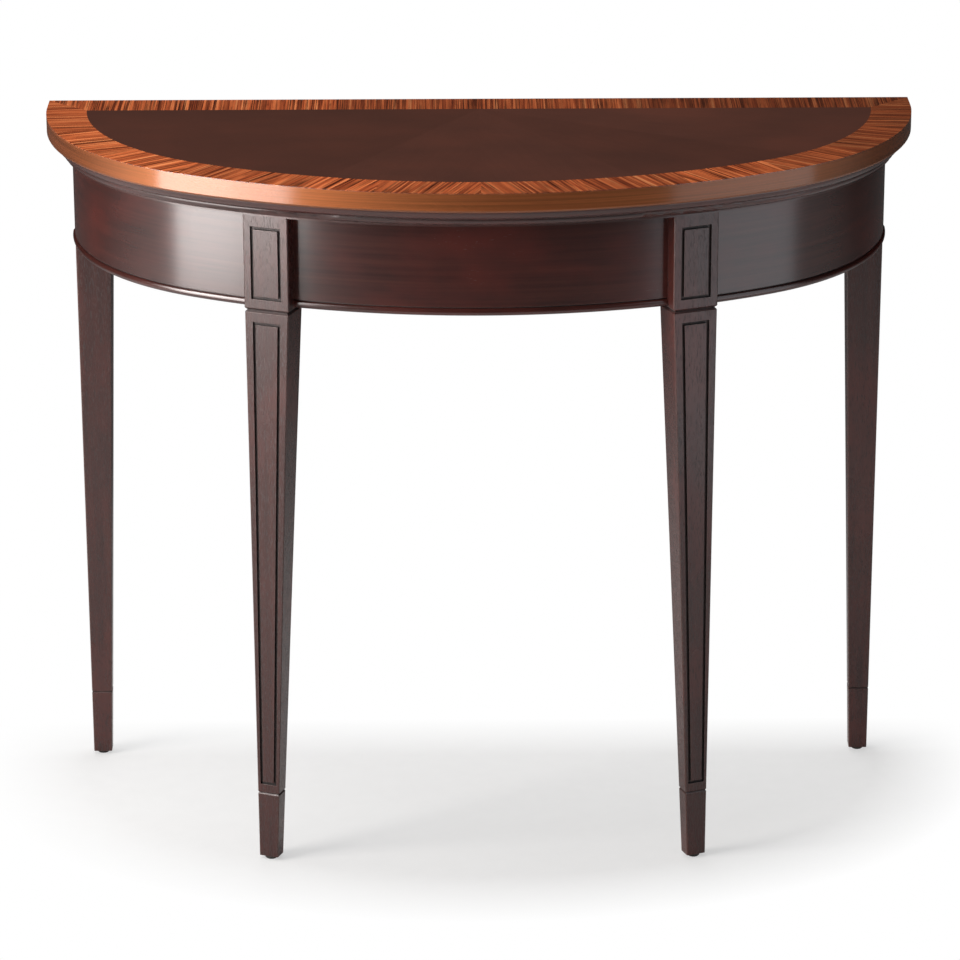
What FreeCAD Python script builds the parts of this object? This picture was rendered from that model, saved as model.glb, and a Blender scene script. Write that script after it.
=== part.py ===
import FreeCAD, Part
import math
import operator
import os
from types import SimpleNamespace

import Sketcher

# Demilune console table: a bowed veneered top on a stepped moulding, three curved aprons
# with a bead, two panelled front legs turned to face outwards and two plain back legs.
# Millimetres, +Z up. The origin lies on the floor under the middle of the top, the straight
# back edge faces +Y and the bow faces -Y.

SIZES = {
    # top
    "top_width": 965.0,
    "top_depth": 394.0,
    "table_height": 787.0,
    "return_length": 32.0,
    "front_rise": 44.0,
    "top_thickness": 22.0,
    "veneer_thickness": 0.8,
    "crossband_width": 45.0,
    "back_strip_joint": 160.0,
    # edge band round the bow
    "edge_band_thickness": 12.0,
    "edge_flat": 18.5,
    "edge_round_in": 2.4,
    "edge_round_radius": 4.0,
    # stepped moulding under the top
    "moulding_height": 19.5,
    "moulding_inset": 6.3,
    "ovolo_height": 10.0,
    "ovolo_depth": 6.4,
    "ovolo_radius": 10.5,
    "quirk_depth": 1.4,
    "lower_bead_height": 7.5,
    "lower_bead_depth": 4.2,
    "lower_bead_radius": 6.5,
    "moulding_width": 70.0,
    "back_strip_width": 48.0,
    # aprons and their beads
    "apron_inset": 27.5,
    "apron_thickness": 18.0,
    "apron_drop": 144.5,
    "centre_setback": 9.5,
    "bead_height": 9.0,
    "bead_projection": 2.2,
    "bead_quirk": 1.2,
    # front legs
    "leg_reach": 236.5,
    "block_inset": 21.0,
    "block_width": 51.5,
    "block_depth": 38.5,
    "leg_width": 50.5,
    "leg_depth": 37.0,
    "foot_width": 22.0,
    "foot_depth": 16.0,
    "outer_taper": 4.3,
    "shoulder_drop": 5.5,
    "shoulder_groove": 5.0,
    "shoulder_groove_depth": 2.2,
    "ankle_height": 80.0,
    "ankle_groove": 3.0,
    "ankle_groove_depth": 1.3,
    "leg_arris": 0.9,
    # incised panels of the front legs
    "panel_groove": 3.3,
    "panel_groove_depth": 2.4,
    "block_panel_side": 8.4,
    "block_panel_top": 13.0,
    "block_panel_bottom": 10.0,
    "leg_panel_top": 10.5,
    "leg_panel_bottom": 9.0,
    "leg_panel_side": 9.0,
    "leg_panel_foot_side": 3.4,
    # back legs and the rail between them
    "rear_setback": 3.0,
    "post_width": 41.0,
    "post_depth": 40.0,
    "back_foot_width": 21.0,
    "back_foot_depth": 19.0,
    "rail_setback": 5.0,
    "rail_thickness": 18.0,
    # glue blocks behind the legs
    "front_block_reach": 46.0,
    "front_block_depth": 24.0,
    "back_block_reach": 45.0,
    "glue_block_height": 70.0,
    # dowels, screws and glides
    "dowel_diameter": 8.0,
    "dowel_length": 36.0,
    "dowel_spacing": 44.0,
    "screw_diameter": 4.0,
    "screw_head": 8.0,
    "leg_screw_length": 44.0,
    "top_screw_length": 32.0,
    "top_screw_inset": 66.0,
    "back_screw_reach": 200.0,
    "back_screw_edge": 12.0,
    "glide_diameter": 14.0,
    "glide_height": 4.0,
    "glide_bevel": 1.2,
    "nail_diameter": 2.2,
    "nail_length": 16.0,
}

FIELD_LEAVES_PER_SIDE = 3
CROSSBAND_LEAVES_PER_ARC = 3
# places of the screws under the top, as angles from straight ahead in degrees
FRONT_SCREW_ANGLE = 8.0
END_SCREW_ANGLE = 60.0
# how far a cutting shape runs past what it cuts
OVERCUT = 12.0
# length of the wedges that cut the field's fan, in half-widths of the top
FAN_REACH = 2.0

SHEET = "dims"
PLUS_Z = FreeCAD.Vector(0, 0, 1)
OPERATIONS = {
    "+": operator.add,
    "-": operator.sub,
    "*": operator.mul,
    "/": operator.truediv,
}


class Size:
    """A number that also knows the sheet expression it comes from."""

    def __init__(self, value, text):
        self.value = value
        self.text = text

    def __add__(self, other):
        return combine(self, "+", other)

    def __radd__(self, other):
        return combine(other, "+", self)

    def __sub__(self, other):
        return combine(self, "-", other)

    def __rsub__(self, other):
        return combine(other, "-", self)

    def __mul__(self, other):
        return combine(self, "*", other)

    def __rmul__(self, other):
        return combine(other, "*", self)

    def __truediv__(self, other):
        return combine(self, "/", other)

    def __neg__(self):
        return combine(0, "-", self)


def as_size(number):
    if isinstance(number, Size):
        return number
    return Size(float(number), repr(float(number)))


def combine(left, sign, right):
    left = as_size(left)
    right = as_size(right)
    value = OPERATIONS[sign](left.value, right.value)
    return Size(value, f"({left.text} {sign} {right.text})")


def degrees(number):
    return Size(float(number), f"{float(number)} deg")


def sine(angle):
    angle = as_size(angle)
    return Size(math.sin(math.radians(angle.value)), f"sin({angle.text})")


def cosine(angle):
    angle = as_size(angle)
    return Size(math.cos(math.radians(angle.value)), f"cos({angle.text})")


def arc_sine(ratio):
    return Size(math.degrees(math.asin(ratio.value)), f"asin({ratio.text})")


def arc_tangent(ratio):
    return Size(math.degrees(math.atan(ratio.value)), f"atan({ratio.text})")


doc = FreeCAD.newDocument("demilune_table")
sheet = doc.addObject("Spreadsheet::Sheet", SHEET)
for row, (alias, number) in enumerate(SIZES.items(), start=1):
    sheet.set(f"A{row}", alias)
    sheet.set(f"B{row}", str(number))
    sheet.setAlias(f"B{row}", alias)
doc.recompute()

d = SimpleNamespace(**{alias: Size(number, f"{SHEET}.{alias}") for alias, number in SIZES.items()})

# Plan lines. y = 0 is the straight back edge while a piece is drawn, and WALL moves it there.
WALL = d.top_depth / 2
HALF = d.top_width / 2
BOW = d.top_depth - d.return_length
# The bow is a wide front arc that runs smoothly into two end arcs and their straight returns.
END_RADIUS = BOW - d.front_rise
END_X = HALF - END_RADIUS
FRONT_RADIUS = (END_X * END_X / d.front_rise + END_RADIUS + BOW) / 2
FRONT_Y = FRONT_RADIUS - d.top_depth
JOINT_TURN = arc_tangent(END_X / (FRONT_RADIUS - BOW))
SIDE_BACK = d.apron_inset + d.apron_thickness
CENTRE_FACE = d.apron_inset + d.centre_setback
CENTRE_BACK = CENTRE_FACE + d.apron_thickness
MOULDING_BACK = d.moulding_inset + d.moulding_width

# Levels
TOP_UNDERSIDE = d.table_height - d.top_thickness
FRAME_TOP = TOP_UNDERSIDE - d.moulding_height
BEAD_BOTTOM = d.table_height - d.apron_drop
APRON_BOTTOM = BEAD_BOTTOM + d.bead_height
APRON_MIDDLE = (APRON_BOTTOM + FRAME_TOP) / 2
SHOULDER = BEAD_BOTTOM - d.shoulder_drop
SOLE = d.glide_height

# Back leg corner and rail lines
POST_OUTER = HALF - d.apron_inset
POST_INNER = POST_OUTER - d.post_width
POST_FRONT = -(d.rear_setback + d.post_depth)
RAIL_BACK = -(d.rear_setback + d.rail_setback)
RAIL_FRONT = RAIL_BACK - d.rail_thickness


def front_point(turn, inset):
    """Plan point of the front arc at an inset from the edge, at a turn from straight ahead."""
    reach = FRONT_RADIUS - inset
    return reach * sine(turn), FRONT_Y - reach * cosine(turn)


def end_point(turn, inset):
    """Plan point of the right end arc at an inset from the edge, at a turn from straight ahead."""
    reach = END_RADIUS - inset
    return END_X + reach * sine(turn), -d.return_length - reach * cosine(turn)


LEG_TURN = arc_sine(d.leg_reach / FRONT_RADIUS)
LEG_X, LEG_Y = front_point(LEG_TURN, d.block_inset)

nodes = []


def bind(item, name, size):
    item.setExpression(name, as_size(size).text)


def place(item, x=0, y=0, z=0, turn=None):
    """Sets a piece by its drawing origin; y is measured from the back edge of the top."""
    if turn is not None:
        item.Placement = FreeCAD.Placement(FreeCAD.Vector(), FreeCAD.Rotation(PLUS_Z, turn.value))
        bind(item, "Placement.Rotation.Angle", turn)
    bind(item, "Placement.Base.x", x)
    bind(item, "Placement.Base.y", WALL + y)
    bind(item, "Placement.Base.z", z)


def keep(item, label):
    """Marks a finished piece as a node of the part."""
    item.Label = label
    nodes.append(item)
    return item


def origin_feature(body, role):
    return next(item for item in body.Origin.OriginFeatures if item.Role == role)


def new_body(name):
    return doc.addObject("PartDesign::Body", name + "_body")


def new_sketch(body, name, role):
    sketch = body.newObject("Sketcher::SketchObject", name)
    sketch.AttachmentSupport = [(origin_feature(body, role), "")]
    sketch.MapMode = "FlatFace"
    return sketch


def measure(sketch, kind, geometry, point, size):
    size = as_size(size)
    index = sketch.addConstraint(Sketcher.Constraint(kind, -1, 1, geometry, point, size.value))
    sketch.setExpression(f"Constraints[{index}]", size.text)


def pin(sketch, geometry, point, x, y):
    measure(sketch, "DistanceX", geometry, point, x)
    measure(sketch, "DistanceY", geometry, point, y)


def join(sketch, first, first_point, second, second_point):
    sketch.addConstraint(Sketcher.Constraint("Coincident", first, first_point, second, second_point))


def vector(corner):
    return FreeCAD.Vector(as_size(corner[0]).value, as_size(corner[1]).value, 0)


def arc_about(start, end, radius):
    """Arc that bulges to the right of the way from start to end, so it turns anticlockwise."""
    chord = end - start
    middle = (start + end) / 2
    rise = math.sqrt(radius ** 2 - (chord.Length / 2) ** 2)
    centre = middle + FreeCAD.Vector(-chord.y, chord.x, 0).normalize() * rise
    first = math.atan2(start.y - centre.y, start.x - centre.x)
    last = math.atan2(end.y - centre.y, end.x - centre.x)
    return Part.ArcOfCircle(Part.Circle(centre, PLUS_Z, radius), first, last)


def outline(sketch, corners, arcs=None, closed=True):
    """Line through corners, anticlockwise; arcs maps a side's number to the radius of its bulge."""
    arcs = arcs or {}
    count = len(corners) if closed else len(corners) - 1
    sides = []
    for number in range(count):
        start = vector(corners[number])
        end = vector(corners[(number + 1) % len(corners)])
        if number in arcs:
            side = sketch.addGeometry(arc_about(start, end, arcs[number].value), False)
        else:
            side = sketch.addGeometry(Part.LineSegment(start, end), False)
        sides.append(side)
    for number, side in enumerate(sides):
        pin(sketch, side, 1, *corners[number])
        if closed or number + 1 < count:
            join(sketch, side, 2, sides[(number + 1) % count], 1)
    if not closed:
        pin(sketch, sides[-1], 2, *corners[-1])
    for number, radius in arcs.items():
        index = sketch.addConstraint(Sketcher.Constraint("Radius", sides[number], radius.value))
        sketch.setExpression(f"Constraints[{index}]", radius.text)


def bow_line(sketch, inset, back, closed=True):
    """The bow at an inset from its edge, from its left return at y = back round to the right one."""
    half = HALF - inset
    corner = -d.return_length
    joint_x, joint_y = front_point(JOINT_TURN, inset)
    end = END_RADIUS - inset
    outline(sketch, [
        (-half, back),
        (-half, corner),
        (-joint_x, joint_y),
        (joint_x, joint_y),
        (half, corner),
        (half, back),
    ], {1: end, 2: FRONT_RADIUS - inset, 3: end}, closed)


def pad(body, sketch, length, reverse=False, both_ways=False):
    feature = body.newObject("PartDesign::Pad", sketch.Name + "_pad")
    feature.Profile = sketch
    feature.Reversed = reverse
    feature.Midplane = both_ways
    bind(feature, "Length", length)
    return feature


def pocket(body, sketch, length=None, reverse=False):
    """Cut of the given depth, or right through both ways where no depth is given."""
    feature = body.newObject("PartDesign::Pocket", sketch.Name + "_cut")
    feature.Profile = sketch
    feature.Reversed = reverse
    if length is None:
        feature.Type = "ThroughAll"
        feature.Midplane = True
    else:
        bind(feature, "Length", length)
    return feature


def slab(name, corners, thickness, level):
    """Flat piece with straight sides, drawn in plan."""
    body = new_body(name)
    sketch = new_sketch(body, name + "_plan", "XY_Plane")
    outline(sketch, corners)
    pad(body, sketch, thickness)
    place(body, z=level)
    return body


def bow_slab(name, inset, back, thickness, level):
    """Flat piece with the bow's outline."""
    body = new_body(name)
    sketch = new_sketch(body, name + "_plan", "XY_Plane")
    bow_line(sketch, inset, back)
    pad(body, sketch, thickness)
    place(body, z=level)
    return body


def bow_strip(name, outer_inset, inner_inset, height, level):
    """Curved strip between two bow lines, open at the back."""
    outer = bow_slab(name + "_outer", outer_inset, as_size(0), height, level)
    inner = bow_slab(name + "_inner", inner_inset, as_size(OVERCUT), height, level)
    return cut(name, outer, inner)


def bow_trim(name, inset, level, corners, arcs):
    """Profile swept round a bow line. Profile corners are (inset from the top's edge, height)."""
    body = new_body(name)
    path = new_sketch(body, name + "_path", "XY_Plane")
    bow_line(path, inset, as_size(0), closed=False)
    profile = new_sketch(body, name + "_profile", "XZ_Plane")
    outline(profile, [(HALF - inward, height) for inward, height in corners], arcs)
    sweep = body.newObject("PartDesign::AdditivePipe", name + "_sweep")
    sweep.Profile = profile
    sweep.Spine = (path, [f"Edge{number}" for number in range(1, path.GeometryCount + 1)])
    place(body, z=level)
    return body


def cut(name, base, *tools):
    """Base piece with the room that other pieces take up cut out of it."""
    for number, tool in enumerate(tools, start=1):
        item = doc.addObject("Part::Cut", f"{name}_cut_{number}")
        item.Base = base
        item.Tool = tool
        base = item
    return base


def common(name, blank, sector):
    item = doc.addObject("Part::Common", name)
    item.Base = blank
    item.Tool = sector
    return item


def mirrored(name, source):
    item = doc.addObject("Part::Mirroring", name)
    item.Source = source
    item.Base = FreeCAD.Vector()
    item.Normal = FreeCAD.Vector(1, 0, 0)
    return item


def group(name, items):
    item = doc.addObject("Part::Compound", name)
    item.Links = items
    return item


def keep_pair(name, right):
    """Keeps a right-hand piece and its mirror image as two nodes."""
    keep(right, name + "_right")
    keep(mirrored(name + "_mirror", right), name + "_left")


def screw(name, length, role, axis):
    """Countersunk screw along an axis, its head's flat at the origin."""
    body = new_body(name)
    sketch = new_sketch(body, name + "_half", role)
    head = d.screw_head / 2
    shank = d.screw_diameter / 2
    sink = head - shank
    outline(sketch, [(0, 0), (head, 0), (shank, sink), (shank, length), (0, length)])
    turned = body.newObject("PartDesign::Revolution", name + "_turned")
    turned.Profile = sketch
    turned.ReferenceAxis = (origin_feature(body, axis), [""])
    turned.Angle = 360
    return body


def dowel_pair(name, role, length):
    """Two dowels one above the other, square to a drawing plane and half on each side of it."""
    body = new_body(name)
    sketch = new_sketch(body, name + "_ends", role)
    for side in (-1, 1):
        height = side * d.dowel_spacing / 2
        circle = Part.Circle(vector((0, height)), PLUS_Z, (d.dowel_diameter / 2).value)
        geometry = sketch.addGeometry(circle, False)
        pin(sketch, geometry, 3, as_size(0), height)
        index = sketch.addConstraint(
            Sketcher.Constraint("Diameter", geometry, d.dowel_diameter.value))
        sketch.setExpression(f"Constraints[{index}]", d.dowel_diameter.text)
    pad(body, sketch, length, both_ways=True)
    return body


def top_screws():
    """Screws up through the moulding and its back strip into the core."""
    right = []
    places = [
        front_point(FRONT_SCREW_ANGLE, d.top_screw_inset),
        end_point(END_SCREW_ANGLE, d.top_screw_inset),
        (d.back_screw_reach, d.back_screw_edge - d.rear_setback - d.back_strip_width),
    ]
    for number, (x, y) in enumerate(places, start=1):
        item = screw(f"top_screw_{number}", d.top_screw_length, "XZ_Plane", "Z_Axis")
        place(item, x, y, FRAME_TOP)
        right.append(item)
    left = [mirrored(f"{item.Name}_mirror", item) for item in right]
    return keep(group("top_screw_group", right + left), "top_screws")


def top_panel(screws):
    """Core with its backing veneer and the banded edge round the bow."""
    core_thickness = d.top_thickness - 2 * d.veneer_thickness
    core_blank = bow_slab("core", d.edge_band_thickness, as_size(0), core_thickness,
                          TOP_UNDERSIDE + d.veneer_thickness)
    backing_blank = bow_slab("backing", d.edge_band_thickness, as_size(0), d.veneer_thickness,
                             TOP_UNDERSIDE)
    keep(cut("core_holed", core_blank, screws), "top_core")
    keep(cut("backing_holed", backing_blank, screws), "backing_veneer")

    height = d.top_thickness - d.veneer_thickness
    back = d.edge_band_thickness + d.edge_round_in
    band = bow_trim("band", as_size(0), TOP_UNDERSIDE, [
        (back, 0),
        (d.edge_round_in, 0),
        (0, height - d.edge_flat),
        (0, height),
        (back, height),
    ], {1: d.edge_round_radius})
    keep(cut("band_fitted", band, core_blank, backing_blank), "edge_band")


def field_veneer():
    """Leaves laid as a fan from the middle of the back edge, three on each side."""
    level = d.table_height - d.veneer_thickness
    blank = bow_slab("field", d.crossband_width, as_size(0), d.veneer_thickness, level)
    step = 90.0 / FIELD_LEAVES_PER_SIDE
    reach = HALF * FAN_REACH
    for number in range(FIELD_LEAVES_PER_SIDE):
        corners = [(0, -d.crossband_width)]
        for angle in (number * step, (number + 1) * step):
            corners.append((reach * sine(angle), -d.crossband_width - reach * cosine(angle)))
        wedge = slab(f"field_fan_{number + 1}", corners, d.veneer_thickness, level)
        keep_pair(f"field_leaf_{number + 1}", common(f"field_leaf_{number + 1}", blank, wedge))


def crossband_veneer():
    """Leaves round the bow, mitred to the straight strips along the back edge."""
    level = d.table_height - d.veneer_thickness
    blank = bow_strip("crossband", as_size(0), d.crossband_width, d.veneer_thickness, level)
    inner = d.crossband_width + OVERCUT
    joints = []
    for number in range(CROSSBAND_LEAVES_PER_ARC):
        turn = JOINT_TURN * number / CROSSBAND_LEAVES_PER_ARC
        joints.append((front_point(turn, inner), front_point(turn, -OVERCUT)))
    for number in range(CROSSBAND_LEAVES_PER_ARC):
        turn = JOINT_TURN + (degrees(90) - JOINT_TURN) * number / CROSSBAND_LEAVES_PER_ARC
        joints.append((end_point(turn, inner), end_point(turn, -OVERCUT)))
    sectors = [[*first, second[1], second[0]] for first, second in zip(joints, joints[1:])]
    last = joints[-1]
    sectors.append([
        *last,
        (HALF + OVERCUT, last[1][1]),
        (HALF + OVERCUT, OVERCUT),
        (HALF - inner, -inner),
    ])
    for number, corners in enumerate(sectors, start=1):
        sector = slab(f"crossband_sector_{number}", corners, d.veneer_thickness, level)
        keep_pair(f"crossband_{number}", common(f"crossband_{number}", blank, sector))

    inner_half = HALF - d.crossband_width
    end = slab("back_strip_end", [
        (d.back_strip_joint, -d.crossband_width),
        (inner_half, -d.crossband_width),
        (HALF, 0),
        (d.back_strip_joint, 0),
    ], d.veneer_thickness, level)
    keep_pair("crossband_back", end)
    middle = slab("back_strip_middle", [
        (-d.back_strip_joint, -d.crossband_width),
        (d.back_strip_joint, -d.crossband_width),
        (d.back_strip_joint, 0),
        (-d.back_strip_joint, 0),
    ], d.veneer_thickness, level)
    keep(middle, "crossband_back_centre")


def under_top_frame(screws):
    """Stepped moulding round the bow and the plain strip that closes it at the back."""
    ovolo_end = d.moulding_inset + d.ovolo_depth
    bead_start = ovolo_end + d.quirk_depth
    bead_end = bead_start + d.lower_bead_depth
    top = d.moulding_height
    ovolo_bottom = top - d.ovolo_height
    bead_bottom = ovolo_bottom - d.lower_bead_height
    moulding = bow_trim("moulding", as_size(0), FRAME_TOP, [
        (MOULDING_BACK, 0),
        (bead_end, 0),
        (bead_end, bead_bottom),
        (bead_start, ovolo_bottom),
        (ovolo_end, ovolo_bottom),
        (d.moulding_inset, top),
        (MOULDING_BACK, top),
    ], {2: d.lower_bead_radius, 4: d.ovolo_radius})
    keep(cut("moulding_holed", moulding, screws), "under_top_moulding")

    reach = HALF - MOULDING_BACK
    front = -(d.rear_setback + d.back_strip_width)
    strip = slab("back_strip", [
        (-reach, front),
        (reach, front),
        (reach, -d.rear_setback),
        (-reach, -d.rear_setback),
    ], d.moulding_height, FRAME_TOP)
    keep(cut("back_strip_holed", strip, screws), "moulding_back_strip")


def block_side(side):
    """Plan line along a side of the right front leg's block: a point ahead of it and one behind."""
    ahead = d.block_inset + OVERCUT
    behind = CENTRE_BACK + 2 * OVERCUT
    x = LEG_X + side * d.block_width / 2 * cosine(LEG_TURN)
    y = LEG_Y + side * d.block_width / 2 * sine(LEG_TURN)
    outer = (x + ahead * sine(LEG_TURN), y - ahead * cosine(LEG_TURN))
    inner = (x - behind * sine(LEG_TURN), y + behind * cosine(LEG_TURN))
    return outer, inner


def apron_sectors():
    """Spaces between the legs that the aprons and beads fill, in plan from leg to leg."""
    low = BEAD_BOTTOM - OVERCUT
    height = FRAME_TOP - BEAD_BOTTOM + 2 * OVERCUT
    outer, inner = block_side(-1)
    centre = slab("centre_sector", [
        (-outer[0], outer[1]),
        outer,
        inner,
        (-inner[0], inner[1]),
    ], height, low)
    outer, inner = block_side(1)
    side = slab("side_sector", [
        outer,
        (HALF + OVERCUT, outer[1]),
        (HALF + OVERCUT, POST_FRONT),
        (inner[0], POST_FRONT),
        inner,
    ], height, low)
    return centre, side


def bead_strip(name, face):
    """Nosed strip as wide as the apron it runs under, with a fine quirk above the nose."""
    nose_top = d.bead_height - d.bead_quirk
    nose = face - d.bead_projection
    radius = (nose_top * nose_top / 4 + d.bead_projection * d.bead_projection) / (2 * d.bead_projection)
    back = face + d.apron_thickness
    return bow_trim(name, face, BEAD_BOTTOM, [
        (back, 0),
        (face, 0),
        (face, nose_top),
        (face + d.bead_quirk, nose_top),
        (face + d.bead_quirk, d.bead_height),
        (back, d.bead_height),
    ], {1: radius})


def aprons(dowels):
    """Curved aprons with their beads; the centre one stands further back than the side ones."""
    centre_sector, side_sector = apron_sectors()
    height = FRAME_TOP - APRON_BOTTOM
    centre_ring = bow_strip("centre_apron", CENTRE_FACE, CENTRE_BACK, height, APRON_BOTTOM)
    side_ring = bow_strip("side_apron", d.apron_inset, SIDE_BACK, height, APRON_BOTTOM)
    centre_blank = common("apron_centre_blank", centre_ring, centre_sector)
    side_blank = common("apron_side_blank", side_ring, side_sector)
    keep(cut("apron_centre", centre_blank, dowels), "apron_centre")
    keep_pair("apron", cut("apron_right", side_blank, dowels))
    centre_bead = bead_strip("centre_bead", CENTRE_FACE)
    side_bead = bead_strip("side_bead", d.apron_inset)
    keep(common("bead_centre", centre_bead, centre_sector), "apron_bead_centre")
    keep_pair("apron_bead", common("bead_right", side_bead, side_sector))
    return centre_blank, side_blank


def tapered(foot, top, height, start=SHOULDER):
    """Place of a tapered leg's side at a height between the sole and the start of its taper."""
    return foot + (top - foot) * (height - SOLE) / (start - SOLE)


def side_line(foot, top, outward, start=SHOULDER):
    """One side of a tapered leg, from the sole to just above its ankle groove."""
    low = d.ankle_height - d.ankle_groove / 2
    high = d.ankle_height + d.ankle_groove / 2
    return [
        (foot, SOLE),
        (tapered(foot, top, low, start), low),
        (tapered(foot, top, d.ankle_height, start) - outward * d.ankle_groove_depth, d.ankle_height),
        (tapered(foot, top, high, start), high),
    ]


def block_line(leg_side, block, outward):
    """One side of the leg's block, from the leg's shoulder up to the moulding."""
    middle = SHOULDER + d.shoulder_groove / 2
    return [
        (leg_side, SHOULDER),
        (leg_side - outward * d.shoulder_groove_depth, middle),
        (block, SHOULDER + d.shoulder_groove),
        (block, FRAME_TOP),
    ]


def leg_outline(left, right):
    """Closes two side lines into one anticlockwise outline."""
    return right + left[::-1]


def ease_arrises(body, feature):
    """Planes a narrow bevel along the long upright arrises."""
    doc.recompute()
    upright = []
    for number, edge in enumerate(feature.Shape.Edges, start=1):
        rise = abs(edge.Vertexes[0].Z - edge.Vertexes[-1].Z)
        if rise > d.ankle_groove.value * 2 and rise > 0.9 * edge.Length:
            upright.append(f"Edge{number}")
    bevel = body.newObject("PartDesign::Chamfer", body.Name + "_arrises")
    bevel.Base = (feature, upright)
    bind(bevel, "Size", d.leg_arris)


def cut_to_side_view(body, name, corners, near, far):
    """Cuts a leg blank to its outline seen from the side."""
    sketch = new_sketch(body, name + "_side_view", "YZ_Plane")
    outline(sketch, corners)
    outline(sketch, [
        (near - OVERCUT, SOLE - OVERCUT),
        (far + OVERCUT, SOLE - OVERCUT),
        (far + OVERCUT, FRAME_TOP + OVERCUT),
        (near - OVERCUT, FRAME_TOP + OVERCUT),
    ])
    return pocket(body, sketch)


def nail_hole(body, name, x, y):
    """Hole up into the foot for the glide's nail."""
    sketch = new_sketch(body, name + "_nail_hole", "XY_Plane")
    radius = d.nail_diameter / 2
    geometry = sketch.addGeometry(Part.Circle(vector((x, y)), PLUS_Z, radius.value), False)
    pin(sketch, geometry, 3, x, y)
    index = sketch.addConstraint(Sketcher.Constraint("Diameter", geometry, d.nail_diameter.value))
    sketch.setExpression(f"Constraints[{index}]", d.nail_diameter.text)
    pocket(body, sketch, SOLE + d.nail_length, reverse=True)


def incised_panel(body, name, outer):
    """Groove along the outline of a panel, given by its lower and upper corners (left, right)."""
    (low_left, low_right, low), (high_left, high_right, high) = outer
    sketch = new_sketch(body, name, "XZ_Plane")
    for groove in (as_size(0), d.panel_groove):
        outline(sketch, [
            (low_left + groove, low + groove),
            (low_right - groove, low + groove),
            (high_right - groove, high - groove),
            (high_left + groove, high - groove),
        ])
    pocket(body, sketch, d.panel_groove_depth)


def front_leg():
    """Right front leg, drawn with its front face on the plane y = 0 and its block about x = 0."""
    outer_foot = d.leg_width / 2 - d.outer_taper
    inner_foot = outer_foot - d.foot_width
    body = new_body("front_leg")
    sketch = new_sketch(body, "front_leg_front_view", "XZ_Plane")
    right = side_line(outer_foot, d.leg_width / 2, 1)
    right += block_line(d.leg_width / 2, d.block_width / 2, 1)
    left = side_line(inner_foot, -d.leg_width / 2, -1)
    left += block_line(-d.leg_width / 2, -d.block_width / 2, -1)
    outline(sketch, leg_outline(left, right))
    pad(body, sketch, d.block_depth, reverse=True)

    front = side_line(as_size(0), as_size(0), -1)
    front += block_line(as_size(0), as_size(0), -1)
    back = side_line(d.foot_depth, d.leg_depth, 1)
    back += block_line(d.leg_depth, d.block_depth, 1)
    shaped = cut_to_side_view(body, "front_leg", leg_outline(front, back), as_size(0), d.block_depth)
    ease_arrises(body, shaped)

    block_low = SHOULDER + d.shoulder_groove + d.block_panel_bottom
    block_high = FRAME_TOP - d.block_panel_top
    block_half = d.block_width / 2 - d.block_panel_side
    incised_panel(body, "block_panel", [
        (-block_half, block_half, block_low),
        (-block_half, block_half, block_high),
    ])
    low = d.ankle_height + d.ankle_groove / 2 + d.leg_panel_bottom
    high = SHOULDER - d.leg_panel_top
    incised_panel(body, "leg_panel", [
        (tapered(inner_foot, -d.leg_width / 2, low) + d.leg_panel_foot_side,
         tapered(outer_foot, d.leg_width / 2, low) - d.leg_panel_foot_side, low),
        (tapered(inner_foot, -d.leg_width / 2, high) + d.leg_panel_side,
         tapered(outer_foot, d.leg_width / 2, high) - d.leg_panel_side, high),
    ])
    foot_x = (outer_foot + inner_foot) / 2
    nail_hole(body, "front_leg", foot_x, d.foot_depth / 2)
    place(body, LEG_X, LEG_Y, turn=LEG_TURN)
    return body, foot_x


def back_leg():
    """Right back leg, drawn from its outer back corner. It tapers on its inner side from the
    rail down and on its front from the bead down."""
    body = new_body("back_leg")
    sketch = new_sketch(body, "back_leg_front_view", "XZ_Plane")
    right = side_line(as_size(0), as_size(0), 1) + [(0, FRAME_TOP)]
    left = side_line(-d.back_foot_width, -d.post_width, -1, APRON_BOTTOM)
    left += [(-d.post_width, APRON_BOTTOM), (-d.post_width, FRAME_TOP)]
    outline(sketch, leg_outline(left, right))
    pad(body, sketch, d.post_depth)
    front = side_line(-d.back_foot_depth, -d.post_depth, -1, BEAD_BOTTOM)
    front += [(-d.post_depth, BEAD_BOTTOM), (-d.post_depth, FRAME_TOP)]
    back = side_line(as_size(0), as_size(0), 1) + [(0, FRAME_TOP)]
    shaped = cut_to_side_view(body, "back_leg", leg_outline(front, back), -d.post_depth, as_size(0))
    ease_arrises(body, shaped)
    nail_hole(body, "back_leg", -d.back_foot_width / 2, -d.back_foot_depth / 2)
    place(body, POST_OUTER, -d.rear_setback)
    return body


def glide(name):
    """Nail-on glide: a round cap under the foot and the nail that holds it."""
    body = new_body(name)
    sketch = new_sketch(body, name + "_half", "XZ_Plane")
    cap = d.glide_diameter / 2
    nail = d.nail_diameter / 2
    outline(sketch, [
        (0, 0),
        (cap - d.glide_bevel, 0),
        (cap, d.glide_bevel),
        (cap, SOLE),
        (nail, SOLE),
        (nail, SOLE + d.nail_length),
        (0, SOLE + d.nail_length),
    ])
    turned = body.newObject("PartDesign::Revolution", name + "_turned")
    turned.Profile = sketch
    turned.ReferenceAxis = (origin_feature(body, "Z_Axis"), [""])
    turned.Angle = 360
    return body


def in_leg_frame(x, y):
    """Plan place of a point given in the right front leg's own frame."""
    plan_x = LEG_X + x * cosine(LEG_TURN) - y * sine(LEG_TURN)
    plan_y = LEG_Y + x * sine(LEG_TURN) + y * cosine(LEG_TURN)
    return plan_x, plan_y


def glides(foot_x):
    front = glide("front_glide")
    place(front, *in_leg_frame(foot_x, d.foot_depth / 2))
    keep_pair("glide_front", front)
    back = glide("back_glide")
    place(back, POST_OUTER - d.back_foot_width / 2, -d.rear_setback - d.back_foot_depth / 2)
    keep_pair("glide_back", back)


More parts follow.
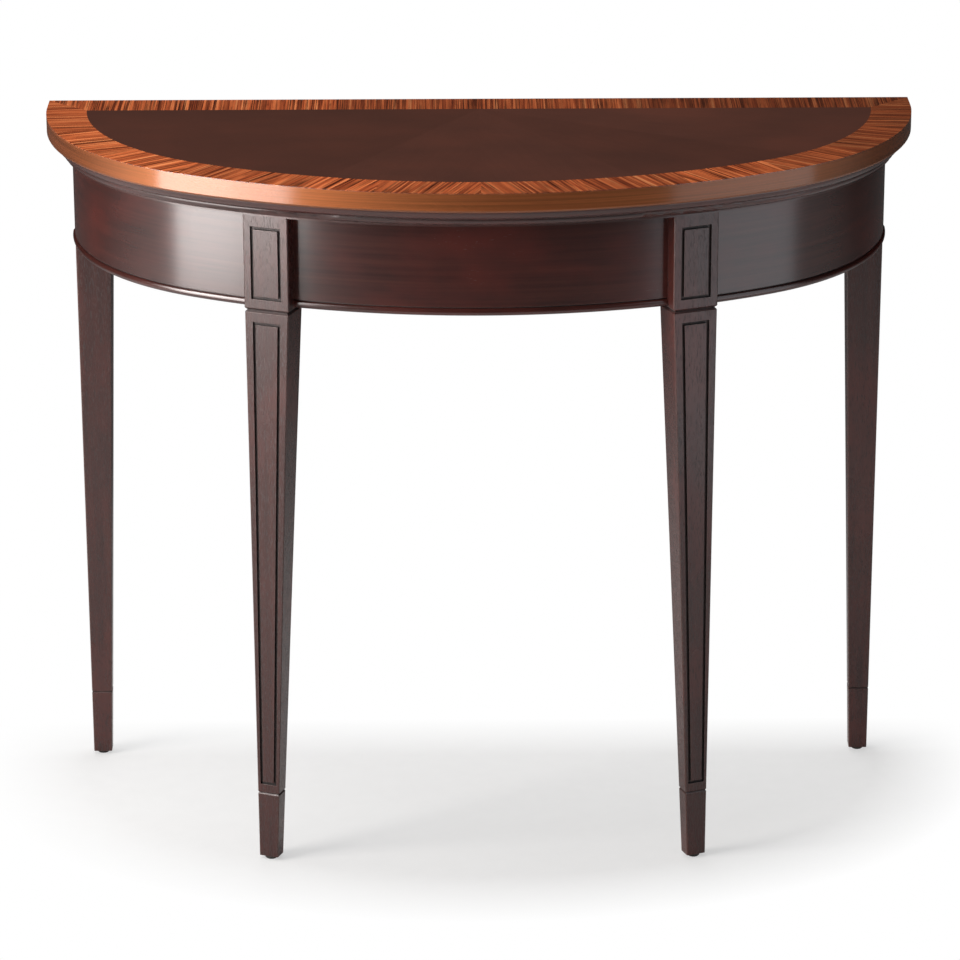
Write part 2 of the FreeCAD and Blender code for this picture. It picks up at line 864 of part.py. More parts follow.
def apron_dowels():
    """Dowels between aprons and legs, two to a joint."""
    side_depth = d.apron_inset + d.apron_thickness / 2 - d.block_inset
    centre_depth = CENTRE_FACE + d.apron_thickness / 2 - d.block_inset
    outer = dowel_pair("outer_dowels", "YZ_Plane", d.dowel_length)
    place(outer, *in_leg_frame(d.block_width / 2, side_depth), APRON_MIDDLE, LEG_TURN)
    inner = dowel_pair("inner_dowels", "YZ_Plane", d.dowel_length)
    place(inner, *in_leg_frame(-d.block_width / 2, centre_depth), APRON_MIDDLE, LEG_TURN)
    rear = dowel_pair("rear_dowels", "XZ_Plane", d.dowel_length)
    place(rear, POST_OUTER - d.apron_thickness / 2, POST_FRONT, APRON_MIDDLE)
    right = [outer, inner, rear]
    left = [mirrored(f"{item.Name}_mirror", item) for item in right]
    return keep(group("apron_dowel_group", right + left), "apron_dowels")


def rail_dowels():
    """Dowels between the back rail and the back legs."""
    right = dowel_pair("rail_dowels", "YZ_Plane", d.dowel_length)
    place(right, POST_INNER, (RAIL_BACK + RAIL_FRONT) / 2, APRON_MIDDLE)
    left = mirrored("rail_dowels_mirror", right)
    return keep(group("rail_dowel_group", [right, left]), "rail_dowels")


def leg_screws():
    """Screws through the glue blocks into the legs, one to a block."""
    head_depth = d.block_depth + d.front_block_depth
    corner_sum = POST_INNER + RAIL_FRONT - d.back_block_reach
    post_x = POST_OUTER - d.post_width / 2
    post_y = POST_FRONT + d.post_depth / 2
    run = (post_x + post_y - corner_sum) / 2
    front = screw("front_leg_screw", d.leg_screw_length, "XY_Plane", "Y_Axis")
    place(front, *in_leg_frame(as_size(0), head_depth), APRON_MIDDLE, LEG_TURN + degrees(180))
    back = screw("back_leg_screw", d.leg_screw_length, "XY_Plane", "Y_Axis")
    place(back, post_x - run, post_y - run, APRON_MIDDLE, degrees(-45))
    right = [front, back]
    left = [mirrored(f"{item.Name}_mirror", item) for item in right]
    return keep(group("leg_screw_group", right + left), "leg_screws")


def glue_blocks(leg, centre_apron, side_apron, screws):
    """Blocks glued into the corners behind the legs, up against the moulding."""
    level = FRAME_TOP - d.glue_block_height
    side_start = d.apron_inset + d.apron_thickness / 2 - d.block_inset
    centre_start = CENTRE_FACE + d.apron_thickness / 2 - d.block_inset
    back = d.block_depth + d.front_block_depth
    shoulder = d.front_block_reach - d.front_block_depth / 2
    front = slab("front_glue_block", [
        in_leg_frame(-d.front_block_reach, centre_start),
        in_leg_frame(as_size(0), centre_start),
        in_leg_frame(as_size(0), side_start),
        in_leg_frame(d.front_block_reach, side_start),
        in_leg_frame(shoulder, back),
        in_leg_frame(-shoulder, back),
    ], d.glue_block_height, level)
    fitted = cut("front_glue_block", front, leg, centre_apron, side_apron, screws)
    keep_pair("front_corner_block", fitted)

    apron_inside = bow_slab("apron_inside", SIDE_BACK, as_size(0), d.glue_block_height, level)
    corner = POST_OUTER - POST_INNER
    rear = slab("back_glue_block", [
        (POST_INNER - d.back_block_reach, RAIL_FRONT),
        (POST_OUTER, RAIL_FRONT - d.back_block_reach - corner),
        (POST_OUTER, POST_FRONT),
        (POST_INNER, POST_FRONT),
        (POST_INNER, RAIL_FRONT),
    ], d.glue_block_height, level)
    seated = common("back_glue_block_seated", rear, apron_inside)
    keep_pair("back_corner_block", cut("back_glue_block", seated, screws))


def back_rail(dowels):
    """Straight rail between the back legs."""
    rail = slab("rail", [
        (-POST_INNER, RAIL_FRONT),
        (POST_INNER, RAIL_FRONT),
        (POST_INNER, RAIL_BACK),
        (-POST_INNER, RAIL_BACK),
    ], FRAME_TOP - APRON_BOTTOM, APRON_BOTTOM)
    keep(cut("rail_holed", rail, dowels), "back_rail")


def legs(dowels, rail_pins, screws):
    front_blank, foot_x = front_leg()
    back_blank = back_leg()
    keep_pair("front_leg", cut("front_leg_holed", front_blank, dowels, screws))
    keep_pair("back_leg", cut("back_leg_holed", back_blank, dowels, rail_pins, screws))
    return front_blank, foot_x


def write_parts():
    """Checks every object, then writes one file for each node."""
    doc.recompute()
    for item in doc.Objects:
        if "Invalid" in item.State or "Error" in item.State:
            raise RuntimeError(f"{item.Name} failed: {item.State}")
    for item in nodes:
        if item.Shape.isNull() or not item.Shape.isValid():
            raise RuntimeError(f"{item.Label} has no valid shape")
    os.makedirs("parts", exist_ok=True)
    for item in nodes:
        item.Shape.exportStep(f"parts/{item.Label}.step")
        print(item.Label, len(item.Shape.Solids), round(item.Shape.Volume, 1))


screws_up = top_screws()
top_panel(screws_up)
field_veneer()
crossband_veneer()
under_top_frame(screws_up)
apron_pins = apron_dowels()
rail_pins = rail_dowels()
block_screws = leg_screws()
centre_apron, side_apron = aprons(apron_pins)
front_leg_blank, front_foot_x = legs(apron_pins, rail_pins, block_screws)
back_rail(rail_pins)
glue_blocks(front_leg_blank, centre_apron, side_apron, block_screws)
glides(front_foot_x)
write_parts()
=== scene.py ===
import math

import bpy
from mathutils import Euler, Matrix, Vector


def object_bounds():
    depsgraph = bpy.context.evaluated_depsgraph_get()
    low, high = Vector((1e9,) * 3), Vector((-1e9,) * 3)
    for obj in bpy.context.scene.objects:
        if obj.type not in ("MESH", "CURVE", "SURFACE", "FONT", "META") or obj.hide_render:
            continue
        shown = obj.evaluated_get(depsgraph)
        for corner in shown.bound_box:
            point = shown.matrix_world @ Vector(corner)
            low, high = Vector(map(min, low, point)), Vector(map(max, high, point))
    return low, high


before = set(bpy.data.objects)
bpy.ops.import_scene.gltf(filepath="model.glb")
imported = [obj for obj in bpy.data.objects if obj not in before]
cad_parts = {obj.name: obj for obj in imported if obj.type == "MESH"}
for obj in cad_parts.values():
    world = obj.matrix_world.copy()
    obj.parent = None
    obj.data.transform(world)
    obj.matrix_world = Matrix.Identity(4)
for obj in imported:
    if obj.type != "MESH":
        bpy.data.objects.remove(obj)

# Looks of the demilune table: veneered top with a bright crossband, dark stained frame,
# a white studio floor and soft lamps. Metres, in the frame of the solids.

CAD_BOX = [list(corner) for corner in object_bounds()]
LOW, HIGH = (Vector(corner) for corner in CAD_BOX)
# The bow is a wide front arc between two end arcs, which run into short straight returns.
RETURN_LENGTH = 0.032
FRONT_RISE = 0.044
END_Y = HIGH.y - RETURN_LENGTH
BOW_DEPTH = END_Y - LOW.y
END_RADIUS = BOW_DEPTH - FRONT_RISE
END_X = HIGH.x - END_RADIUS
FRONT_RADIUS = (END_X ** 2 / FRONT_RISE + END_RADIUS + BOW_DEPTH) / 2
FRONT_Y = LOW.y + FRONT_RADIUS
ARC_JOINT = math.atan2(END_X, FRONT_Y - END_Y)

# The leaves of the top are counted from the front middle; the left ones mirror the right ones.
SIDES = (("right", 1), ("left", -1))
# angle of each crossband leaf's grain from the front-back line
CROSSBAND_GRAIN = (21.0, 27.0, 35.0, 52.0, 70.0, 85.0)
# share of a dark stain in each crossband leaf, and in the strips along the back edge, with painted
# shade that darkens the leaves and strips towards the right
CROSSBAND_STAIN_AND_SHADE = {
    "left": (0.2, 0.0, 0.2, 0.0, 0.0, 0.2),
    "right": (0.3, 0.35, 0.05, 0.4, 0.6, 0.6),
}
BACK_STRIP_STAIN_AND_SHADE = {"left": 0.25, "centre": 0.5, "right": 0.7}
# tone of each leaf of the field against the plain tone, with painted light that makes the right-hand
# leaves lighter
FIELD_TONE_AND_LIGHT = {
    "left": (1.05, 1.0, 1.0),
    "right": (1.07, 1.04, 1.08),
}
FIELD_LEAVES = len(FIELD_TONE_AND_LIGHT["left"])
# how far the figure moves on from one leaf to the next, so that neighbours differ
FIELD_SHIFT = 0.37
CROSSBAND_SHIFT = 0.31
BACK_STRIP_SHIFT = 0.53
# radius of the softened arrises, and how near a face has to be to make a recess
ARRIS = 0.0007
RECESS_REACH = 0.006
# samples of the nodes that find arrises and recesses
FINDER_SAMPLES = 4
WHITE = (1.0, 1.0, 1.0, 1.0)
BLACK = (0.0, 0.0, 0.0, 1.0)


def colour(red, green, blue):
    """Linear colour from the 0-255 values a picture shows."""
    channels = []
    for channel in (red, green, blue):
        level = channel / 255
        channels.append(level / 12.92 if level <= 0.04045 else ((level + 0.055) / 1.055) ** 2.4)
    return (*channels, 1.0)


class Recipe:
    """One material and the nodes that make it."""

    def __init__(self, name):
        self.material = bpy.data.materials.new(name)
        self.material.use_nodes = True
        self.tree = self.material.node_tree
        self.shader = self.tree.nodes["Principled BSDF"]
        self.place = self.add("ShaderNodeTexCoord").outputs["Object"]

    def add(self, kind, inputs=None, **settings):
        node = self.tree.nodes.new(kind)
        for name, value in settings.items():
            setattr(node, name, value)
        for name, value in (inputs or {}).items():
            self.feed(node, name, value)
        return node

    def feed(self, node, name, value):
        if isinstance(value, bpy.types.NodeSocket):
            self.tree.links.new(value, node.inputs[name])
        else:
            node.inputs[name].default_value = value

    def sum(self, operation, first, second=0.0, third=0.0):
        node = self.add("ShaderNodeMath", {0: first, 1: second, 2: third}, operation=operation)
        return node.outputs[0]

    def pick(self, switch, first, second):
        """First number where the switch is 0, second where it is 1."""
        return self.add("ShaderNodeMix", {0: switch, 2: first, 3: second}).outputs[0]

    def turned(self, angle, offset):
        """Place with x along a grain that lies in plan at an angle from the front-back line."""
        node = self.add("ShaderNodeMapping", {
            "Vector": self.place,
            "Location": (offset, offset * 3, 0.0),
            "Rotation": (0.0, 0.0, math.radians(90.0 - angle)),
        })
        return node.outputs[0]

    def upright(self):
        """Place with x up the grain of a leg."""
        node = self.add("ShaderNodeMapping", {
            "Vector": self.place,
            "Rotation": (0.0, math.radians(90.0), 0.0),
        })
        return node.outputs[0]

    def arc(self, aside, ahead):
        """Turn of a place about an arc's centre, and its distance from that centre."""
        square = self.sum("MULTIPLY_ADD", aside, aside, self.sum("MULTIPLY", ahead, ahead))
        return self.sum("ARCTAN2", aside, ahead), self.sum("SQRT", square)

    def along_bow(self):
        """Place with x round the bow, y up and z inwards from the edge."""
        parts = self.add("ShaderNodeSeparateXYZ", {0: self.place}).outputs
        aside = self.sum("ABSOLUTE", parts["X"])
        front_turn, front_reach = self.arc(aside, self.sum("SUBTRACT", FRONT_Y, parts["Y"]))
        end_turn, end_reach = self.arc(self.sum("SUBTRACT", aside, END_X),
                                       self.sum("SUBTRACT", END_Y, parts["Y"]))
        past_joint = self.sum("GREATER_THAN", front_turn, ARC_JOINT)
        to_joint = ARC_JOINT * (FRONT_RADIUS - END_RADIUS)
        way = self.pick(past_joint, self.sum("MULTIPLY", front_turn, FRONT_RADIUS),
                        self.sum("MULTIPLY_ADD", end_turn, END_RADIUS, to_joint))
        inward = self.pick(past_joint, self.sum("SUBTRACT", FRONT_RADIUS, front_reach),
                           self.sum("SUBTRACT", END_RADIUS, end_reach))
        node = self.add("ShaderNodeCombineXYZ", {
            0: self.sum("MULTIPLY", way, self.sum("SIGN", parts["X"])),
            1: parts["Z"],
            2: inward,
        })
        return node.outputs[0]

    def streaks(self, place, along, across, detail=4.0, roughness=0.55):
        """Noise drawn out along the grain; along and across are changes to the metre."""
        stretched = self.add("ShaderNodeMapping", {
            "Vector": place,
            "Scale": (along, across, across),
        }).outputs[0]
        node = self.add("ShaderNodeTexNoise", {
            "Vector": stretched,
            "Scale": 1.0,
            "Detail": detail,
            "Roughness": roughness,
        })
        return node.outputs["Fac"]

    def lines(self, place, along, across, thin):
        """Thin lines along the grain: 1 on a line, 0 off it."""
        noise = self.streaks(place, along, across, 1.0)
        return self.level(self.sum("ABSOLUTE", self.sum("SUBTRACT", noise, 0.5)), 0.0, thin, 1.0, 0.0)

    def ramp(self, factor, stops):
        """Blend through (position, colour) stops."""
        node = self.add("ShaderNodeValToRGB", {"Fac": factor})
        elements = node.color_ramp.elements
        while len(elements) < len(stops):
            elements.new(0.5)
        for element, (position, tone) in zip(elements, stops):
            element.position = position
            element.color = tone
        return node.outputs["Color"]

    def level(self, factor, low, high, start=0.0, end=1.0):
        """Number that goes from start to end as factor goes from low to high."""
        node = self.add("ShaderNodeMapRange", {
            "Value": factor,
            "From Min": low,
            "From Max": high,
            "To Min": start,
            "To Max": end,
        })
        return node.outputs["Result"]

    def blend(self, factor, first, second):
        node = self.add("ShaderNodeMix", data_type="RGBA")
        self.feed(node, 0, factor)
        self.feed(node, 6, first)
        self.feed(node, 7, second)
        return node.outputs[2]

    def openness(self):
        """How open a place is: 1 on a flat face, less in a recess."""
        node = self.add("ShaderNodeAmbientOcclusion", {"Distance": RECESS_REACH},
                        samples=FINDER_SAMPLES, only_local=True)
        return node.outputs["AO"]

    def softened(self):
        """Normal rounded over at the arrises."""
        return self.add("ShaderNodeBevel", {"Radius": ARRIS}, samples=FINDER_SAMPLES).outputs[0]

    def shade_corners(self, tone, painted_shade, open_air):
        """Darkens recesses with painted shade."""
        return self.blend(self.level(open_air, 0.5, 0.88, 0.95, 0.0), tone, painted_shade)

    def wear_and_highlight_arrises(self, tone, worn_and_highlight, open_air):
        """Lightens the arrises: polish rubbed off, and a painted highlight along them."""
        face = self.add("ShaderNodeNewGeometry").outputs["Normal"]
        match = self.add("ShaderNodeVectorMath", {0: self.softened(), 1: face}, operation="DOT_PRODUCT")
        edge = self.level(match.outputs["Value"], 0.99, 0.9, 0.0, 0.6)
        return self.blend(self.sum("MULTIPLY", edge, self.level(open_air, 0.8, 0.95)), tone, worn_and_highlight)

    def bump(self, height, depth, squared=True):
        """Fine relief, on softened arrises where the piece is squared."""
        node = self.add("ShaderNodeBump", {"Height": height, "Distance": depth, "Strength": 1.0})
        if squared:
            self.feed(node, "Normal", self.softened())
        self.feed(self.shader, "Normal", node.outputs[0])

    def finish(self, base, rough, coat=0.0, coat_rough=0.1):
        self.feed(self.shader, "Base Color", base)
        self.feed(self.shader, "Roughness", rough)
        self.feed(self.shader, "Coat Weight", coat)
        self.feed(self.shader, "Coat Roughness", coat_rough)
        return self.material


def crossband(name, grain, offset, stain_and_shade):
    """Figured veneer: orange and brown stripes with thin near-black lines; the last argument darkens a
    leaf with a dark stain and painted shade.
    """
    wood = Recipe(name)
    place = wood.turned(grain, offset)
    stripe = wood.streaks(place, 4.0, 230.0, 4.0, 0.6)
    tone = wood.ramp(stripe, (
        (0.30, colour(124, 53, 31)),
        (0.42, colour(178, 84, 47)),
        (0.54, colour(222, 115, 65)),
        (0.68, colour(247, 155, 98)),
    ))
    lines = wood.lines(place, 3.0, 430.0, 0.12)
    strength = wood.level(wood.streaks(place, 9.0, 40.0, 2.0), 0.36, 0.56, 0.35, 1.0)
    tone = wood.blend(wood.sum("MULTIPLY", lines, strength), tone, colour(50, 22, 16))
    pores = wood.streaks(place, 60.0, 900.0, 1.0)
    tone = wood.blend(wood.level(pores, 0.58, 0.72, 0.0, 0.45), tone, colour(78, 36, 24))
    # a dark stain, with painted shade that darkens the right-hand leaves
    tone = wood.blend(stain_and_shade, tone, colour(60, 34, 26))
    wood.bump(pores, 0.00003, squared=False)
    return wood.finish(tone, wood.level(stripe, 0.3, 0.7, 0.28, 0.34), 0.3, 0.16)


def field(name, grain, offset, tone_and_light):
    """Dark even veneer of the middle of the top, its tones multiplied by the last argument, with
    painted light that lifts the right-hand leaves.
    """
    wood = Recipe(name)
    place = wood.turned(grain, offset)
    cloud = wood.streaks(wood.place, 7.0, 9.0, 3.0)
    tone = wood.ramp(cloud, (
        (0.30, colour(71 * tone_and_light, 45 * tone_and_light, 38 * tone_and_light)),
        (0.50, colour(76 * tone_and_light, 47 * tone_and_light, 39 * tone_and_light)),
        (0.70, colour(82 * tone_and_light, 49 * tone_and_light, 40 * tone_and_light)),
    ))
    streak = wood.streaks(place, 5.0, 160.0, 5.0)
    tone = wood.blend(wood.level(streak, 0.4, 0.75, 0.0, 0.12), tone, colour(62, 37, 31))
    pores = wood.streaks(place, 50.0, 1300.0, 1.0)
    tone = wood.blend(wood.level(pores, 0.62, 0.75, 0.0, 0.2), tone, colour(50, 30, 25))
    wood.bump(pores, 0.00002, squared=False)
    return wood.finish(tone, wood.level(cloud, 0.3, 0.7, 0.29, 0.32), 0.25, 0.18)


def edge_wood():
    """Solid band with straight grain round the bow."""
    wood = Recipe("edge_band")
    place = wood.along_bow()
    streak = wood.streaks(place, 3.0, 240.0, 4.0)
    tone = wood.ramp(streak, (
        (0.32, colour(74, 34, 23)),
        (0.50, colour(96, 45, 28)),
        (0.68, colour(122, 61, 37)),
    ))
    tone = wood.blend(wood.lines(place, 1.5, 300.0, 0.06), tone, colour(58, 28, 18))
    pores = wood.streaks(place, 40.0, 1100.0, 1.0)
    tone = wood.blend(wood.level(pores, 0.58, 0.72, 0.0, 0.5), tone, colour(74, 37, 24))
    open_air = wood.openness()
    # painted shade in the recesses
    tone = wood.shade_corners(tone, colour(48, 24, 17), open_air)
    # lighter arrises: wear and a painted highlight
    tone = wood.wear_and_highlight_arrises(tone, colour(206, 160, 136), open_air)
    wood.bump(pores, 0.00005)
    # the lit part of the band shines strongly, in the wood's own colour
    wood.shader.inputs["Specular IOR Level"].default_value = 1.0
    wood.shader.inputs["Specular Tint"].default_value = (1.0, 0.34, 0.1, 1.0)
    wood.shader.inputs["IOR"].default_value = 1.75
    return wood.finish(tone, wood.level(streak, 0.3, 0.7, 0.52, 0.6), 0.75, 0.15)


def dark_wood(name, grain, pore_share, pore_depth, rough, coat, squared=True):
    """Dark red-brown stained hardwood under a satin lacquer; grain says how its place lies."""
    cloud_matt = 0.02
    pore_matt = 0.4
    recess_matt = 0.6
    wood = Recipe(name)
    place = grain(wood)
    cloud = wood.streaks(place, 7.0, 16.0, 3.0)
    streak = wood.streaks(place, 3.0, 160.0, 5.0, 0.6)
    tone = wood.ramp(streak, (
        (0.30, colour(60, 31, 28)),
        (0.50, colour(72, 37, 33)),
        (0.70, colour(82, 43, 37)),
    ))
    tone = wood.blend(wood.level(cloud, 0.48, 0.72, 0.0, 0.7), tone, colour(100, 42, 35))
    pores = wood.level(wood.streaks(place, 130.0, 900.0, 2.0), 0.54, 0.68)
    tone = wood.blend(wood.sum("MULTIPLY", pores, pore_share), tone, colour(30, 18, 15))
    open_air = wood.openness()
    # painted shade in the recesses, near-black in the grooves
    tone = wood.shade_corners(tone, colour(18, 11, 10), open_air)
    # lighter arrises where squared: wear and a painted highlight
    if squared:
        tone = wood.wear_and_highlight_arrises(tone, colour(150, 122, 112), open_air)
    wood.bump(wood.sum("SUBTRACT", 1.0, pores), pore_depth, squared)
    sheen = wood.level(cloud, 0.35, 0.65, rough, rough + cloud_matt)
    sheen = wood.sum("MULTIPLY_ADD", pores, pore_share * pore_matt, sheen)
    sheen = wood.sum("ADD", sheen, wood.level(open_air, 0.5, 0.9, recess_matt, 0.0))
    return wood.finish(tone, sheen, coat, 0.18)


def frame_wood():
    """Plain hidden hardwood, stained to go with the frame."""
    wood = Recipe("frame_wood")
    streak = wood.streaks(wood.place, 4.0, 120.0, 5.0)
    tone = wood.ramp(streak, (
        (0.30, colour(62, 38, 30)),
        (0.70, colour(98, 64, 49)),
    ))
    wood.bump(streak, 0.00006)
    return wood.finish(tone, 0.6)


def core_board():
    """Fibreboard with a mottled face."""
    board = Recipe("core_board")
    fleck = board.streaks(board.place, 700.0, 700.0, 3.0)
    tone = board.ramp(fleck, (
        (0.35, colour(98, 70, 53)),
        (0.65, colour(130, 97, 75)),
    ))
    board.bump(fleck, 0.00003)
    return board.finish(tone, 0.75)


def dowel_wood():
    """Pale beech."""
    wood = Recipe("dowel_wood")
    fleck = wood.streaks(wood.place, 60.0, 900.0, 3.0)
    tone = wood.ramp(fleck, (
        (0.35, colour(186, 146, 104)),
        (0.65, colour(214, 178, 134)),
    ))
    wood.bump(fleck, 0.00003)
    return wood.finish(tone, 0.6)


def screw_steel():
    """Scuffed zinc plate."""
    steel = Recipe("screw_steel")
    scuff = steel.streaks(steel.place, 900.0, 900.0, 3.0)
    steel.shader.inputs["Metallic"].default_value = 1.0
    tone = steel.ramp(scuff, (
        (0.35, colour(150, 142, 120)),
        (0.65, colour(190, 184, 166)),
    ))
    return steel.finish(tone, steel.level(scuff, 0.3, 0.7, 0.28, 0.45))


def glide_plastic():
    """Dark nylon, scuffed dull."""
    plastic = Recipe("glide")
    scuff = plastic.streaks(plastic.place, 500.0, 500.0, 3.0)
    tone = plastic.ramp(scuff, (
        (0.40, colour(42, 36, 33)),
        (0.70, colour(66, 58, 53)),
    ))
    plastic.bump(scuff, 0.00003)
    return plastic.finish(tone, plastic.level(scuff, 0.3, 0.7, 0.4, 0.6))


def dress(name, material):
    """Gives a node one material."""
    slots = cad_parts[name].material_slots
    for slot in slots:
        slot.material = material
    if not slots:
        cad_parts[name].data.materials.append(material)


def dress_top():
    """Veneers of the top, a material to each leaf, and the band round them."""
    for number in range(1, FIELD_LEAVES + 1):
        grain = (number - 0.5) * 90.0 / FIELD_LEAVES
        for side, sign in SIDES:
            tone_and_light = FIELD_TONE_AND_LIGHT[side][number - 1]
            shift = FIELD_SHIFT * number
            material = field(f"field_veneer_{number}_{side}", sign * grain, shift, tone_and_light)
            dress(f"field_leaf_{number}_{side}", material)
    for number, grain in enumerate(CROSSBAND_GRAIN, start=1):
        for side, sign in SIDES:
            stain_and_shade = CROSSBAND_STAIN_AND_SHADE[side][number - 1]
            shift = CROSSBAND_SHIFT * number
            material = crossband(f"crossband_veneer_{number}_{side}", sign * grain, shift, stain_and_shade)
            dress(f"crossband_{number}_{side}", material)
    for number, (side, stain_and_shade) in enumerate(BACK_STRIP_STAIN_AND_SHADE.items()):
        material = crossband(f"crossband_veneer_back_{side}", 0.0, BACK_STRIP_SHIFT * number, stain_and_shade)
        dress(f"crossband_back_{side}", material)
    dress("edge_band", edge_wood())


def dress_frame():
    """Legs, aprons and mouldings, and the plain pieces behind them."""
    polished = {"pore_share": 0.06, "pore_depth": 0.000001, "rough": 0.23, "coat": 0.25}
    open_pored = {"pore_share": 0.6, "pore_depth": 0.00005, "rough": 0.26, "coat": 0.1}
    round_the_bow = dark_wood("dark_wood_bow", Recipe.along_bow, **polished)
    up_the_leg = dark_wood("dark_wood_leg", Recipe.upright, **open_pored)
    moulded = dark_wood("dark_wood_moulded", Recipe.along_bow, **polished, squared=False)
    dress("under_top_moulding", moulded)
    for side in ("left", "centre", "right"):
        dress(f"apron_{side}", round_the_bow)
        dress(f"apron_bead_{side}", moulded)
    plain = frame_wood()
    board = core_board()
    glide = glide_plastic()
    for side in ("left", "right"):
        dress(f"front_leg_{side}", up_the_leg)
        dress(f"back_leg_{side}", up_the_leg)
        dress(f"front_corner_block_{side}", plain)
        dress(f"back_corner_block_{side}", plain)
        dress(f"glide_front_{side}", glide)
        dress(f"glide_back_{side}", glide)
    dress("moulding_back_strip", plain)
    dress("back_rail", plain)
    dress("top_core", board)
    dress("backing_veneer", board)
    dowels = dowel_wood()
    dress("apron_dowels", dowels)
    dress("rail_dowels", dowels)
    steel = screw_steel()
    dress("leg_screws", steel)
    dress("top_screws", steel)


def add_floor():
    """White studio floor with the table's soft shadow, plain white further out, clear from below."""
    width = 9.0
    front = -1.85
    back = 7.0
    shadow_share = 0.5
    # the shadow fades from inside the top's outline to outside it, round the bow and at the back
    bow_inside, bow_outside = 0.02, 0.1
    back_inside, back_outside = 0.03, 0.08
    # behind the table the floor mirrors darker, down to this share at this distance
    far_share, far_reach = 0.15, 1.2
    mesh = bpy.data.meshes.new("floor")
    mesh.from_pydata(
        [(-width, front, 0.0), (width, front, 0.0), (width, back, 0.0), (-width, back, 0.0)],
        [], [(0, 1, 2, 3)])
    floor = bpy.data.objects.new("floor", mesh)
    bpy.context.scene.collection.objects.link(floor)
    paper = Recipe("floor_paper")
    seen = paper.add("ShaderNodeLightPath").outputs
    back_way = paper.add("ShaderNodeSeparateXYZ", {0: paper.place}).outputs["Y"]
    speck = paper.streaks(paper.place, 40.0, 40.0, 2.0)
    tone = paper.ramp(speck, (
        (0.3, (0.90, 0.90, 0.90, 1.0)),
        (0.7, (0.93, 0.93, 0.93, 1.0)),
    ))
    far_dim = paper.level(back_way, 0.0, far_reach, 1.0, far_share)
    paper.finish(paper.blend(far_dim, BLACK, tone), 0.9)
    paper.shader.inputs["Specular IOR Level"].default_value = 0.0
    inward = paper.add("ShaderNodeSeparateXYZ", {0: paper.along_bow()}).outputs["Z"]
    under_top = paper.sum("MULTIPLY", paper.level(inward, -bow_outside, bow_inside),
                          paper.level(back_way, HIGH.y + back_outside, HIGH.y - back_inside))
    white_share = paper.sum("SUBTRACT", 1.0, paper.sum("MULTIPLY", under_top, shadow_share))
    direct = paper.sum("MAXIMUM", seen["Is Camera Ray"], seen["Is Transmission Ray"])
    white = paper.add("ShaderNodeEmission", {"Color": WHITE, "Strength": 1.0})
    mixed = paper.add("ShaderNodeMixShader", {0: paper.sum("MULTIPLY", direct, white_share)})
    paper.tree.links.new(paper.shader.outputs[0], mixed.inputs[1])
    paper.tree.links.new(white.outputs[0], mixed.inputs[2])
    below = paper.add("ShaderNodeNewGeometry").outputs["Backfacing"]
    one_way = paper.add("ShaderNodeMixShader", {0: below})
    paper.tree.links.new(mixed.outputs[0], one_way.inputs[1])
    paper.tree.links.new(paper.add("ShaderNodeBsdfTransparent").outputs[0], one_way.inputs[2])
    paper.tree.links.new(one_way.outputs[0], paper.tree.nodes["Material Output"].inputs["Surface"])
    mesh.materials.append(paper.material)


def add_lamp(name, place, target, width, height, power, tint):
    """Soft box that faces a point; power is in watts."""
    lamp = bpy.data.lights.new(name, "AREA")
    lamp.shape = "RECTANGLE"
    lamp.size = width
    lamp.size_y = height
    lamp.energy = power
    lamp.color = tint
    item = bpy.data.objects.new(name, lamp)
    item.location = place
    item.rotation_euler = (Vector(target) - Vector(place)).to_track_quat("-Z", "Y").to_euler()
    bpy.context.scene.collection.objects.link(item)
    return item


def add_card(name, near, far, low, glow, tint):
    """Reflector between two plan points that shows only in the lacquer; glow is in W/m2."""
    high = 2.0
    near = Vector((*near, (low + high) / 2))
    far = Vector((*far, (low + high) / 2))
    middle = (near + far) / 2
    facing = (far - near).cross(Vector((0.0, 0.0, 1.0)))
    if facing.dot(middle) > 0.0:
        facing.negate()
    length = (far - near).length
    power = glow * length * (high - low)
    card = add_lamp(name, middle, middle + facing, length, high - low, power, tint)
    card.visible_diffuse = False


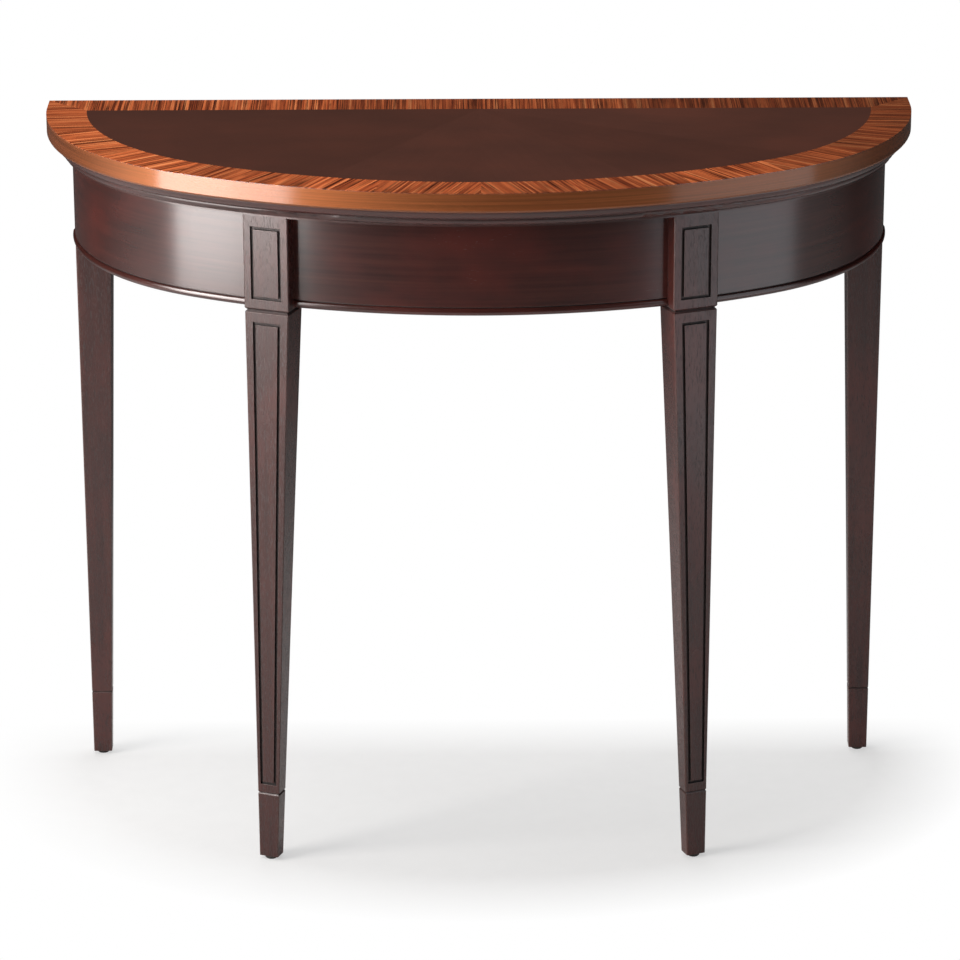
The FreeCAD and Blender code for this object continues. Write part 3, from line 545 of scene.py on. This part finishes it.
def add_world():
    """White to the camera, a little fill on the object, and dark where the lacquer mirrors it."""
    fill = 0.15
    world = bpy.data.worlds.new("studio")
    world.use_nodes = True
    tree = world.node_tree
    seen = tree.nodes.new("ShaderNodeLightPath").outputs
    filled = tree.nodes.new("ShaderNodeMath")
    filled.operation = "MULTIPLY_ADD"
    tree.links.new(seen["Is Diffuse Ray"], filled.inputs[0])
    filled.inputs[1].default_value = fill
    tree.links.new(seen["Is Camera Ray"], filled.inputs[2])
    tree.links.new(filled.outputs[0], tree.nodes["Background"].inputs["Strength"])
    tree.nodes["Background"].inputs["Color"].default_value = WHITE
    bpy.context.scene.world = world


def add_light():
    """Two soft boxes that light the wood, and the cards that its lacquer mirrors."""
    add_world()
    neutral = (1.0, 1.0, 1.0)
    warm = (1.0, 0.96, 0.92)
    faintly_warm = (1.0, 0.97, 0.95)
    cool = (0.88, 0.94, 1.0)
    top_box = add_lamp("top_box", (-0.35, 0.45, 2.8), (0.0, 0.1, 0.0), 2.6, 2.2, 62.0, neutral)
    # unseen in the lacquer, so that the top keeps its colours from above
    top_box.visible_glossy = False
    add_lamp("key_box", (-2.58, -1.05, 1.7), (0.0, 0.0, 0.5), 1.2, 1.2, 60.0, warm)
    left_corner = (-1.27, -0.97)
    add_card("left_card", left_corner, (-1.58, -0.50), 0.27, 43.0, faintly_warm)
    add_card("left_wing", (-1.07, -1.27), left_corner, 0.32, 37.0, faintly_warm)
    add_card("right_card", (1.05, -1.2), (1.61, -0.35), 0.0, 4.7, cool)


def add_camera():
    """Camera at the photograph's viewing angle."""
    camera = bpy.data.cameras.new("photo_camera")
    camera.lens = 167.1
    camera.sensor_width = 36.0
    item = bpy.data.objects.new("photo_camera", camera)
    item.location = (-0.03, -4.674, 2.0456)
    pitch = 19.378
    yaw = 0.357
    roll = -0.15
    aim = Euler((math.radians(90.0 - pitch), 0.0, math.radians(-yaw))).to_matrix()
    item.rotation_euler = (aim @ Matrix.Rotation(math.radians(roll), 3, "Z")).to_euler()
    bpy.context.scene.collection.objects.link(item)
    bpy.context.scene.camera = item


dress_top()
dress_frame()
add_floor()
add_light()
add_camera()
bpy.context.scene.view_settings.view_transform = "Standard"
